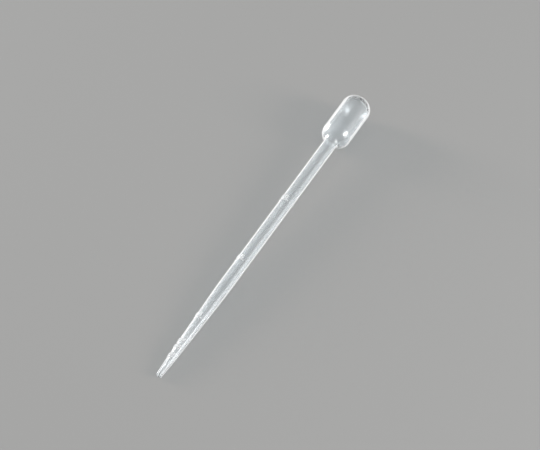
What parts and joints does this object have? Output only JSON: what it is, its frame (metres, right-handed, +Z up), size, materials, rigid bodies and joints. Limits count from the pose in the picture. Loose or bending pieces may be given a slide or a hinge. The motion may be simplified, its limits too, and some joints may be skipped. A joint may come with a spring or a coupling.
{
  "type": "plastic dropper pipette",
  "caption": "Translucent one-piece dropper pipette: a squeeze bulb, a thin graduated tube and a long tapered nose with a fine orifice.",
  "frame": {"origin": "centre of the footprint, on the table that the pipette lies on", "axes": "+X along the table towards the bulb, +Z up; the pipette's axis rises towards the bulb by 1.9 degrees in the XZ plane"},
  "size_m": [0.1501, 0.0108, 0.0115],
  "materials": {
    "polyethylene": "milky translucent, soft sheen as moulded"
  },
  "bodies": {
    "root": {"pipette": "polyethylene"}
  },
  "joints": []
}
